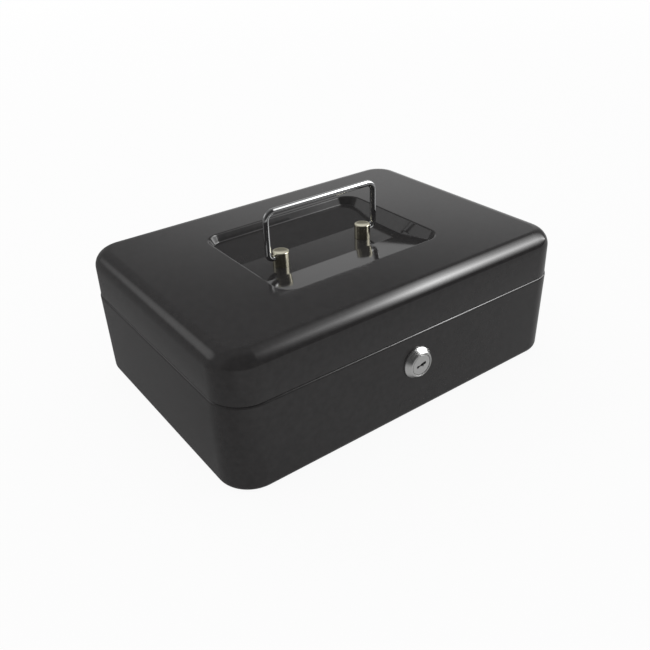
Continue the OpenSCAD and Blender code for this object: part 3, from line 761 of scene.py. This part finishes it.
def make_lid_shell():
    """The drawn lid: recess floor to rim, over the top, down the walls and back inside."""
    s = bpy.context.scene.cash_box_shell
    half = s.sheet / 2
    wall = s.corner - s.lid_inset - half
    low, high = LID_LOW.z, LID_HIGH.z
    lid = rolled([
        (wall, low),
        (wall - s.lid_draft, high - half, s.lid_bend - half),
        (CORE, high - half)], steps=26, support=0.6 * MM)
    rim_bend = s.recess_rim - half
    rim = s.recess_corner - rim_bend * math.tan(s.recess_slope / 2)
    floor = high - s.recess_drop - half
    deep = s.recess_soft + 0.5 * MM
    recess = rolled([
        (s.recess_corner + 1 * MM, high - half),
        (rim, high - half, rim_bend),
        (rim - (s.recess_drop + deep) / math.tan(s.recess_slope), floor - deep, 1 * MM),
        (CORE, floor - deep)], steps=26, support=0.5 * MM)
    edge = cut_edge(lid[0][0], lid[0][1], (0, -1), half, s.edge)
    size = (BASE_HIGH.x, -BASE_LOW.y, s.corner)
    pit = (s.recess_width / 2, s.recess_depth / 2, s.recess_corner)
    under, over = recess_floor(-half), recess_floor(half)
    below = placed(dense(list(reversed(beside(recess, half))), 0.4 * MM), *pit, under)
    inside = placed(list(reversed(beside(lid, half)[1:])), *size)
    round_edge = placed(edge, *size)
    outside = placed(beside(lid, -half)[1:], *size)
    above = placed(dense(beside(recess, -half), 0.4 * MM), *pit, over)
    reach = pit[1] - pit[2]
    near = math.tan(s.recess_ramp / 2) * s.recess_crease
    # Points along the recess's sides, close together at the two creases of its floor.
    along = sorted(sign * (s.recess_level / 2 + step) / reach
                   for sign in (-1, 1) for step in (-1 * MM, -near, 0, near, 1 * MM))
    along = [-0.85, -0.7] + along[:5] + [-0.2, 0, 0.2] + along[5:] + [0.7, 0.85]
    across = [-0.8, -0.4, 0, 0.4, 0.8]
    bm = bmesh.new()
    ends = lofted(bm, below + inside + round_edge + outside + above, 32, across, along)
    for end, mould in ((ends[0], under), (ends[1], over)):
        grid_floor(bm, end, pit[0] - pit[2], reach, floor - deep, mould, 32, across, along)
    screw_hole = bpy.context.scene.cash_box_fasteners.screw_hole / 2
    cutters = [hole((side * POST_MIDDLE, 0, floor), (0, 0, 1), screw_hole, DRILL, sides=32)
               for side in (-1, 1)]
    cutters += rivet_cutters("lid_hinge_rivets")
    mesh = drilled("lid_pressing", facing_out(bm), cutters)
    put("lid_pressing", mesh, "lid", "black_coat", ("lid_shell",), smooth_angle=30)


# ---- Handle ----

def make_wire():
    """The carrying handle, bent from one length of round wire."""
    s = bpy.context.scene.cash_box_handle
    radius = s.wire / 2
    leg = BAIL_HIGH.x - radius
    pivot = BAIL_LOW.z + radius
    grip = BAIL_HIGH.z - radius
    end = POST_HIGH.x - s.wire_in
    path = rolled([
        (-end, pivot), (-leg, pivot, s.hook_bend), (-leg, grip, s.grip_bend),
        (leg, grip, s.grip_bend), (leg, pivot, s.hook_bend), (end, pivot)], steps=20)
    bm = bmesh.new()
    points = ring(bm, [(x, 0, z) for (x, z), _ in path])
    for a, b in zip(points, points[1:]):
        bm.edges.new((a, b))
    mesh = grown(bm, wire_tree(), {
        "Radius": radius, "Sides": 48, "Material": finish("bright_chrome")})
    put("bail_wire", mesh, "handle", "bright_chrome", ("handle_bail",), smooth_angle=40)


def make_posts():
    """The two turned posts with their dished tops and the sockets that the wire turns in."""
    s = bpy.context.scene.cash_box_handle
    radius = (POST_HIGH.x - POST_LOW.x) / 2
    high = POST_HIGH.z - POST_LOW.z
    pivot = BAIL_LOW.z + s.wire / 2
    dish = radius - s.post_rim
    steps = 12
    outline = beside(rolled([(0, 0), (radius, 0, 0.12 * MM), (radius, high, s.post_edge),
                             (dish, high)], steps=8, support=0.1 * MM), 0)
    outline += [(dish * k / steps, high - s.post_dish * (1 - (k / steps) ** 2))
                for k in reversed(range(steps))]
    inner = POST_HIGH.x - s.socket
    for side, name in ((-1, "left"), (1, "right")):
        bm = turned(outline, Matrix.Translation((side * POST_MIDDLE, 0, POST_LOW.z)))
        socket = hole((side * (inner + DRILL / 2), 0, pivot), (1, 0, 0), s.wire / 2 + CLEAR,
                      DRILL)
        mesh = drilled(name + "_post", bm, [socket])
        put(name + "_post", mesh, "lid", "nickel", ("handle_post_" + name,))


# ---- Lock ----

def out_of_wall(y, z):
    """Turns a shape drawn along +Z so that it points out of the front wall, from y at height z."""
    return Matrix.Translation((0, y, z)) @ Matrix.Rotation(math.radians(90), 4, "X")


def add_block(bm, centre, size):
    """Adds a block with its centre and size to a bmesh."""
    bmesh.ops.create_cube(
        bm, size=1, matrix=Matrix.Translation(centre) @ Matrix.Diagonal((*size, 1)))


def make_bezel():
    """Coned bezel, pocket, bore and threaded barrel with its two flats."""
    s = bpy.context.scene.cash_box_lock
    back = LOCK_LOW.y + s.stand
    depth = LOCK_HIGH.y - back
    rim = s.plug_face / 2 + s.groove
    pocket = s.stand - s.pocket
    barrel = s.barrel / 2
    outer = rolled([
        (rim, pocket), (rim, s.stand, 0.12 * MM), (s.face / 2, s.stand, s.face_round),
        (s.bezel / 2, s.bezel_edge, s.edge_round), (s.bezel / 2, 0, 0.1 * MM), (barrel, 0)],
        steps=10, support=0.1 * MM)
    pitch = 1.0 * MM
    root = barrel - s.tooth
    crest = barrel - 0.04 * MM
    outline = [(s.bore / 2, -depth), (s.bore / 2, pocket)] + beside(outer, 0)
    outline.append((root, -0.3 * pitch))
    z = -0.8 * pitch
    while z > -depth + pitch:
        outline += [(root, z + 0.06 * pitch), (crest, z - 0.34 * pitch),
                    (crest, z - 0.50 * pitch), (root, z - 0.9 * pitch)]
        z -= pitch
    outline.append((root, -depth))
    bm = turned(outline, out_of_wall(back, s.axis), tube=True)

    def flats(tools):
        wide, over = 4 * MM, 1 * MM
        for side in (-1, 1):
            add_block(tools, (side * (s.flats + wide) / 2, back + (depth + over) / 2, s.axis),
                      (wide, depth + over - 0.02 * MM, s.bezel))
    mesh = drilled("lock_bezel", bm, [flats])
    put("lock_bezel", mesh, "base", "satin_chrome", ("lock_housing",))


def keyway():
    """Outline of the keyway: a slot with a narrow neck, a round head and a ward at its side."""
    wide, narrow = 0.9 * MM, 0.45 * MM
    foot, shoulder, neck, head = -3.3 * MM, 0.53 * MM, 2.07 * MM, 2.85 * MM
    ward = -1.32 * MM
    arc = [math.radians(-60 + 300 * k / 16) for k in range(1, 16)]
    return [(-wide, foot), (wide, foot), (wide, shoulder), (narrow, shoulder), (narrow, neck),
            *((wide * math.cos(t), head + wide * math.sin(t)) for t in arc),
            (-narrow, neck), (-narrow, shoulder), (-wide, shoulder), (-wide, -shoulder),
            (-2 * wide, -shoulder), (-2 * wide, ward), (-wide, ward)]


def make_plug():
    """The turning plug with its warded keyway and square tail."""
    s = bpy.context.scene.cash_box_lock
    place = out_of_wall(PLUG_LOW.y, s.axis)
    back = PLUG_LOW.y - PLUG_HIGH.y + s.tail
    body = s.plug_body / 2
    face = s.plug_face / 2
    outline = rolled([
        (0, back), (body, back, 0.15 * MM), (body, -s.collar, 0.02 * MM),
        (face, -s.collar, 0.1 * MM), (face, 0, 0.18 * MM), (0, 0)], steps=6, support=0.05 * MM)
    bm = turned(beside(outline, 0), place)
    tail = s.tail + 1 * MM
    add_block(bm, (0, PLUG_HIGH.y - tail / 2, s.axis), (s.square, tail, s.square))
    turn = Matrix.Rotation(s.key_turn, 4, "Z")
    slot = prism(keyway(), -s.key_depth, 1 * MM, place @ turn)
    mesh = drilled("lock_plug_turned", bm, [slot])
    put("lock_plug_turned", mesh, "lock", "satin_chrome", ("lock_plug",))


# ---- Fasteners ----

def pan_head(s, head_radius, head_high, shank):
    """A pan-head screw with a cross slot, head downwards from z = 0 and shank up."""
    radius = s.screw / 2
    pitch = 0.7 * MM
    root = radius * 0.84
    crest = radius * 0.99
    outline = beside(rolled([
        (0, -head_high), (head_radius, -head_high, head_high / 2), (head_radius, 0, 0.1 * MM),
        (radius, 0)], steps=8), 0)
    z = 0.2 * MM
    while z < shank - pitch:
        outline += [(root, z), (crest, z + 0.3 * MM), (root, z + 0.6 * MM)]
        z += pitch
    outline += [(root, shank - 0.1 * MM), (radius * 0.7, shank), (0, shank)]
    bm = turned(outline, Matrix.Identity(4), sides=48)
    arm, half = head_radius * 0.6, s.screw_slot / 2
    cross = [(arm, -half), (arm, half), (half, half), (half, arm), (-half, arm), (-half, half),
             (-arm, half), (-arm, -half), (-half, -half), (-half, -arm), (half, -arm),
             (half, -half)]
    slot = prism(cross, -head_high - 1 * MM, -head_high / 2, Matrix.Identity(4), taper=0.8)
    mesh = drilled("pan_head", bm, [slot])
    out = bmesh.new()
    out.from_mesh(mesh)
    bpy.data.meshes.remove(mesh)
    return out


def make_post_screws():
    """The two screws and washers that hold the posts from inside the lid."""
    s = bpy.context.scene.cash_box_fasteners
    low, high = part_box("post_screws")
    washer_low, washer_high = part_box("post_washers")
    screw = pan_head(s, high.x - POST_MIDDLE, washer_low.z - low.z, high.z - washer_low.z)
    inner = s.screw_hole / 2
    outer = washer_high.x - POST_MIDDLE
    thick = washer_high.z - washer_low.z
    outline = rolled([(inner, 0.4 * thick), (inner, 0, 0.08 * MM), (outer, 0, 0.15 * MM),
                      (outer, thick, 0.15 * MM), (inner, thick, 0.08 * MM),
                      (inner, 0.6 * thick)], steps=4)
    washer = turned(beside(outline, 0), Matrix.Identity(4), sides=64, tube=True)
    for bm, name, nodes in ((screw, "post_screw_pair", ("post_screws",)),
                            (washer, "post_washer_pair", ("post_washers",))):
        mesh = grown(bm, row_tree(), {
            "Count": 2, "Spacing": (2 * POST_MIDDLE, 0, 0), "Groups": 1,
            "Group Spacing": (0, 0, 0), "Start": (-POST_MIDDLE, 0, washer_low.z),
            "Material": finish("zinc_plate")})
        put(name, mesh, "lid", "zinc_plate", nodes)


def make_rivets():
    """The hinges' rivets: domed outside, clinched flat inside."""
    s = bpy.context.scene.cash_box_fasteners
    for node, body in (("base_hinge_rivets", "base"), ("lid_hinge_rivets", "lid")):
        low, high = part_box(node)
        middle, pitch, z = rivet_places(node)
        head = (high.z - low.z) / 2
        foot = head - 0.3 * MM
        inner = low.y + s.rivet_foot
        outer = high.y - s.rivet_dome
        end = rolled([(0, low.y), (foot, low.y, 0.25 * MM), (foot, inner)], steps=5)
        dome = rolled([(head, outer), (head, high.y, s.rivet_dome * 0.8), (0, high.y)], steps=10)
        shank = [(s.rivet / 2, inner), (s.rivet / 2, outer)]
        outline = beside(end, 0) + shank + beside(dome, 0)
        bm = turned(outline, Matrix.Rotation(math.radians(-90), 4, "X"), sides=40)
        mesh = grown(bm, row_tree(), {
            "Count": 2, "Spacing": (pitch, 0, 0), "Groups": 2,
            "Group Spacing": (2 * middle, 0, 0), "Start": (-middle - pitch / 2, 0, z),
            "Material": finish("hinge_steel")})
        put(body + "_rivets", mesh, body, "hinge_steel", (node,))


# ---- Pieces refined from the frame ----

REFINED = (
    # node, piece, body, finish, edge rounding in millimetres
    ("hinge_base_left", "left_base_leaf", "base", "hinge_steel", 0.18),
    ("hinge_base_right", "right_base_leaf", "base", "hinge_steel", 0.18),
    ("hinge_lid_left", "left_lid_leaf", "lid", "hinge_steel", 0.18),
    ("hinge_lid_right", "right_lid_leaf", "lid", "hinge_steel", 0.18),
    ("hinge_pin_left", "left_pin", "base", "zinc_plate", 0.2),
    ("hinge_pin_right", "right_pin", "base", "zinc_plate", 0.2),
    ("lock_washer", "barrel_washer", "base", "zinc_plate", 0.15),
    ("lock_nut", "barrel_nut", "base", "zinc_plate", 0.25),
    ("lock_cam", "cam_blade", "lock", "zinc_plate", 0.2),
    ("cam_washer", "cam_disc", "lock", "zinc_plate", 0.1),
    ("cam_screw", "cam_bolt", "lock", "zinc_plate", 0.1),
    ("lid_catch", "catch_strip", "lid", "black_coat", 0.2),
    ("tray_rest_left", "left_rest", "base", "black_coat", 0.2),
    ("tray_rest_right", "right_rest", "base", "black_coat", 0.2),
    ("coin_tray", "moulded_tray", "tray", "tray_plastic", 0.5),
)


def refine(node, name, body, slot, rounding):
    """A smoothed copy of a frame node, its edges rounded, that stands for the node."""
    bm = bmesh.new()
    bm.from_mesh(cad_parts[node].data)
    bmesh.ops.remove_doubles(bm, verts=bm.verts[:], dist=0.002 * MM)
    bmesh.ops.dissolve_limit(bm, angle_limit=math.radians(0.6), verts=bm.verts[:],
                             edges=bm.edges[:])
    obj = linked("seed", bm)
    edge = obj.modifiers.new("edges", "BEVEL")
    edge.limit_method = "ANGLE"
    edge.angle_limit = math.radians(40)
    edge.width = rounding * MM
    edge.segments = 3
    edge.use_clamp_overlap = True
    put(name, baked(obj), body, slot, (node,))


# ---- Studio ----

# Levels of the softbox in gloss, over its turn about X in degrees and over the X of the direction.
TALL = ((18, 0.0), (28, 0.12), (40, 0.40), (51, 0.78), (60, 1.0), (70, 0.74), (84, 0.40),
        (104, 0.14), (120, 0.0))
WIDE = ((0.36, 0.0), (0.44, 0.09), (0.52, 0.20), (0.57, 0.42), (0.63, 1.0), (0.69, 0.62),
        (0.75, 0.46), (0.9, 0.3))
# Directions from the box to the bright far side of the room and to the wall at the left.
FAR_SIDE = Vector((0.67, 0.74, 0)).normalized()
LEFT_WALL = Vector((-0.58, 0.70, 0.42)).normalized()
GREY = (0.8, 0.8, 0.8, 1)
WHITE = (1, 1, 1, 1)


def faded(tree, value, span, stops, whole):
    """Brightness along a value from 0 to span, given as stops of a place in the whole and a level."""
    share = ranged(tree, value, 0, span, 0, 1, "LINEAR")
    ramp = add_node(tree, "ShaderNodeValToRGB", {"Fac": share})
    points = ramp.color_ramp.elements
    for point, (place, level) in zip(points, (stops[0], stops[-1])):
        point.position = place / whole
        point.color = (level, level, level, 1)
    for place, level in stops[1:-1]:
        points.new(place / whole).color = (level, level, level, 1)
    return ramp.outputs["Color"]


def on_far_side(tree, place):
    """How far a direction points at the bright side of the room behind the box, from 0 to 1."""
    ahead = vector(tree, "NORMALIZE", vector(tree, "MULTIPLY", place, (1, 1, 0)))
    return ranged(tree, vector(tree, "DOT_PRODUCT", ahead, FAR_SIDE), 0.88, 0.995, 0, 1)


def mixed(tree, share, first, second):
    """The first shader where share is 0 and the second where it is 1."""
    inputs = {"Fac": share, 1: first, 2: second}
    return add_node(tree, "ShaderNodeMixShader", inputs).outputs["Shader"]


def glow_of(tree, kind, colour, strength):
    """What an emission or background node gives."""
    return add_node(tree, kind, {"Color": colour, "Strength": strength}).outputs[0]


def make_floor(s):
    """A round white floor, which gloss sees as dim near the box and bright on the far side."""
    bm = bmesh.new()
    bmesh.ops.create_circle(bm, cap_ends=True, radius=12.0, segments=96)
    floor = linked("studio_floor", bm)
    material = bpy.data.materials.new("studio_floor")
    material.use_nodes = True
    tree = material.node_tree
    tree.nodes.clear()
    rays = add_node(tree, "ShaderNodeLightPath").outputs
    place = add_node(tree, "ShaderNodeTexCoord").outputs["Object"]
    reach = vector(tree, "LENGTH", place)
    x, y, _ = axes(tree, place)
    # Level in gloss: darker at the left and behind, bright far off on the far side.
    across = calc(tree, "SUBTRACT", x, y)
    near = ranged(tree, across, -0.12, 0.08, s.floor_in_gloss * 0.5, s.floor_in_gloss)
    far = ranged(tree, reach, 0.3, 1, 0, 1)
    glow = calc(tree, "MULTIPLY", far, on_far_side(tree, place))
    level = calc(tree, "MULTIPLY_ADD", glow, s.far_side - s.floor_in_gloss, near)
    plain = add_node(tree, "ShaderNodeBsdfDiffuse", {"Color": GREY}).outputs["BSDF"]
    white = glow_of(tree, "ShaderNodeEmission", WHITE, 1.0)
    gloss = glow_of(tree, "ShaderNodeEmission", WHITE, level)
    # The camera sees a little of the shade near the box, and plain white far off.
    seen = ranged(tree, reach, 0.5, 2.5, 0.93, 1)
    direct = mixed(tree, calc(tree, "MULTIPLY", rays["Is Camera Ray"], seen), plain, white)
    mirror = calc(tree, "MAXIMUM", rays["Is Glossy Ray"], rays["Is Transmission Ray"])
    add_node(tree, "ShaderNodeOutputMaterial", {"Surface": mixed(tree, mirror, direct, gloss)})
    floor.data.materials.append(material)


def make_world(s):
    """Light from all round, white for the camera. Gloss sees a dim room with a softbox instead."""
    world = bpy.data.worlds.new("studio")
    bpy.context.scene.world = world
    world.use_nodes = True
    tree = world.node_tree
    tree.nodes.clear()
    rays = add_node(tree, "ShaderNodeLightPath").outputs
    way = add_node(tree, "ShaderNodeTexCoord").outputs["Generated"]
    x, y, z = axes(tree, way)
    # The room in gloss: darker in front, bright low down on the far side and at the left wall.
    room = ranged(tree, y, -0.3, 0.15, s.room * 0.2, s.room)
    low = ranged(tree, z, 0.33, 0.48, s.far_side - s.room, 0)
    behind = calc(tree, "MULTIPLY_ADD", low, on_far_side(tree, way), room)
    left_wall = ranged(tree, vector(tree, "DOT_PRODUCT", way, LEFT_WALL), 0.93, 0.995,
                       0, s.side_wall)
    # The softbox in gloss: a panel at the right that fades out round its brightest line.
    turn = calc(tree, "ARCTAN2", z, calc(tree, "MULTIPLY", y, -1.0))
    shape = calc(tree, "MULTIPLY", faded(tree, turn, math.pi, TALL, 180),
                 faded(tree, x, 1, WIDE, 1))
    panel = calc(tree, "MULTIPLY", shape, s.softbox)
    total = calc(tree, "ADD", calc(tree, "ADD", behind, left_wall), panel)
    soft = glow_of(tree, "ShaderNodeBackground", WHITE, s.fill)
    sky = glow_of(tree, "ShaderNodeBackground", GREY, total)
    white = glow_of(tree, "ShaderNodeBackground", WHITE, 1.0)
    clear = calc(tree, "MAXIMUM", rays["Is Camera Ray"], rays["Is Transmission Ray"])
    lit = mixed(tree, rays["Is Glossy Ray"], soft, sky)
    add_node(tree, "ShaderNodeOutputWorld", {"Surface": mixed(tree, clear, lit, white)})


def make_lamp(s):
    """A softbox high behind the box, which the camera and gloss do not see."""
    light = bpy.data.lights.new("softbox_back", "AREA")
    light.shape = "RECTANGLE"
    light.size = 1.2
    light.size_y = 0.5
    light.energy = s.back
    lamp = bpy.data.objects.new("softbox_back", light)
    bpy.context.scene.collection.objects.link(lamp)
    way = Vector((-0.1, 0.75, 0.75)).normalized()
    aim = Vector((0, 0, 0.05))
    distance = 1.6
    lamp.location = aim + way * distance
    lamp.rotation_euler = (-way).to_track_quat("-Z", "Y").to_euler()
    lamp.visible_camera = False
    lamp.visible_glossy = False


def make_camera(s):
    """The camera, from its eye, yaw, pitch and roll."""
    ahead = Vector((math.sin(s.yaw) * math.cos(s.pitch), math.cos(s.yaw) * math.cos(s.pitch),
                    -math.sin(s.pitch)))
    level = Vector((math.cos(s.yaw), -math.sin(s.yaw), 0))
    upright = level.cross(ahead)
    right = level * math.cos(s.roll) + upright * math.sin(s.roll)
    up = upright * math.cos(s.roll) - level * math.sin(s.roll)
    lens = bpy.data.cameras.new("camera")
    lens.sensor_fit = "HORIZONTAL"
    lens.sensor_width = 36
    lens.lens = s.lens
    lens.clip_start = 0.01
    lens.clip_end = 100
    camera = bpy.data.objects.new("camera", lens)
    bpy.context.scene.collection.objects.link(camera)
    turn = Matrix((right, up, -ahead)).transposed()
    camera.matrix_world = Matrix.Translation(s.eye) @ turn.to_4x4()
    bpy.context.scene.camera = camera
    bpy.context.scene.view_settings.view_transform = "Standard"


# ---- Operators, panel and run ----

class CASHBOX_OT_base(bpy.types.Operator):
    """Make the drawn base"""
    bl_idname = "cashbox.base"
    bl_label = "Base shell"

    def execute(self, context):
        make_base_shell()
        return {"FINISHED"}


class CASHBOX_OT_lid(bpy.types.Operator):
    """Make the drawn lid with its recess"""
    bl_idname = "cashbox.lid"
    bl_label = "Lid shell"

    def execute(self, context):
        make_lid_shell()
        return {"FINISHED"}


class CASHBOX_OT_handle(bpy.types.Operator):
    """Make the wire handle and its two posts"""
    bl_idname = "cashbox.handle"
    bl_label = "Handle and posts"

    def execute(self, context):
        make_wire()
        make_posts()
        return {"FINISHED"}


class CASHBOX_OT_lock(bpy.types.Operator):
    """Make the lock's bezel, barrel and plug"""
    bl_idname = "cashbox.lock"
    bl_label = "Lock"

    def execute(self, context):
        make_bezel()
        make_plug()
        return {"FINISHED"}


class CASHBOX_OT_fasteners(bpy.types.Operator):
    """Make the rivets, post screws and washers"""
    bl_idname = "cashbox.fasteners"
    bl_label = "Fasteners"

    def execute(self, context):
        make_post_screws()
        make_rivets()
        return {"FINISHED"}


class CASHBOX_OT_hardware(bpy.types.Operator):
    """Make the hinges, nut, cam, catch, ledges and coin tray"""
    bl_idname = "cashbox.hardware"
    bl_label = "Hardware and tray"

    def execute(self, context):
        for row in REFINED:
            refine(*row)
        return {"FINISHED"}


class CASHBOX_OT_stage(bpy.types.Operator):
    """Set up the floor, light and camera"""
    bl_idname = "cashbox.stage"
    bl_label = "Studio"

    def execute(self, context):
        for make in (make_floor, make_world, make_lamp, make_camera):
            make(context.scene.cash_box_studio)
        return {"FINISHED"}


OPERATORS = (CASHBOX_OT_base, CASHBOX_OT_lid, CASHBOX_OT_handle, CASHBOX_OT_lock,
             CASHBOX_OT_fasteners, CASHBOX_OT_hardware, CASHBOX_OT_stage)


class CASHBOX_PT_main(bpy.types.Panel):
    """Sizes, finishes and steps of the cash box"""
    bl_idname = "CASHBOX_PT_main"
    bl_label = "Cash box"
    bl_space_type = "VIEW_3D"
    bl_region_type = "UI"
    bl_category = "Cash box"

    def draw(self, context):
        layout = self.layout
        for name, group in GROUPS:
            box = layout.box()
            box.label(text=group.__doc__)
            for key in group.__annotations__:
                box.prop(getattr(context.scene, name), key)
        for operator in OPERATORS:
            layout.operator(operator.bl_idname)


def register():
    """Adds the classes and the scene's settings."""
    for _, group in GROUPS:
        bpy.utils.register_class(group)
    for operator in OPERATORS:
        bpy.utils.register_class(operator)
    bpy.utils.register_class(CASHBOX_PT_main)
    for name, group in GROUPS:
        setattr(bpy.types.Scene, name, bpy.props.PointerProperty(type=group))


def unregister():
    """Removes the classes and the scene's settings."""
    for name, _ in GROUPS:
        delattr(bpy.types.Scene, name)
    bpy.utils.unregister_class(CASHBOX_PT_main)
    for operator in reversed(OPERATORS):
        bpy.utils.unregister_class(operator)
    for _, group in reversed(GROUPS):
        bpy.utils.unregister_class(group)


def main():
    """Makes every piece in order."""
    register()
    bpy.ops.cashbox.base()
    bpy.ops.cashbox.lid()
    bpy.ops.cashbox.handle()
    bpy.ops.cashbox.lock()
    bpy.ops.cashbox.fasteners()
    bpy.ops.cashbox.hardware()
    bpy.ops.cashbox.stage()


if __name__ == "__main__":
    main()
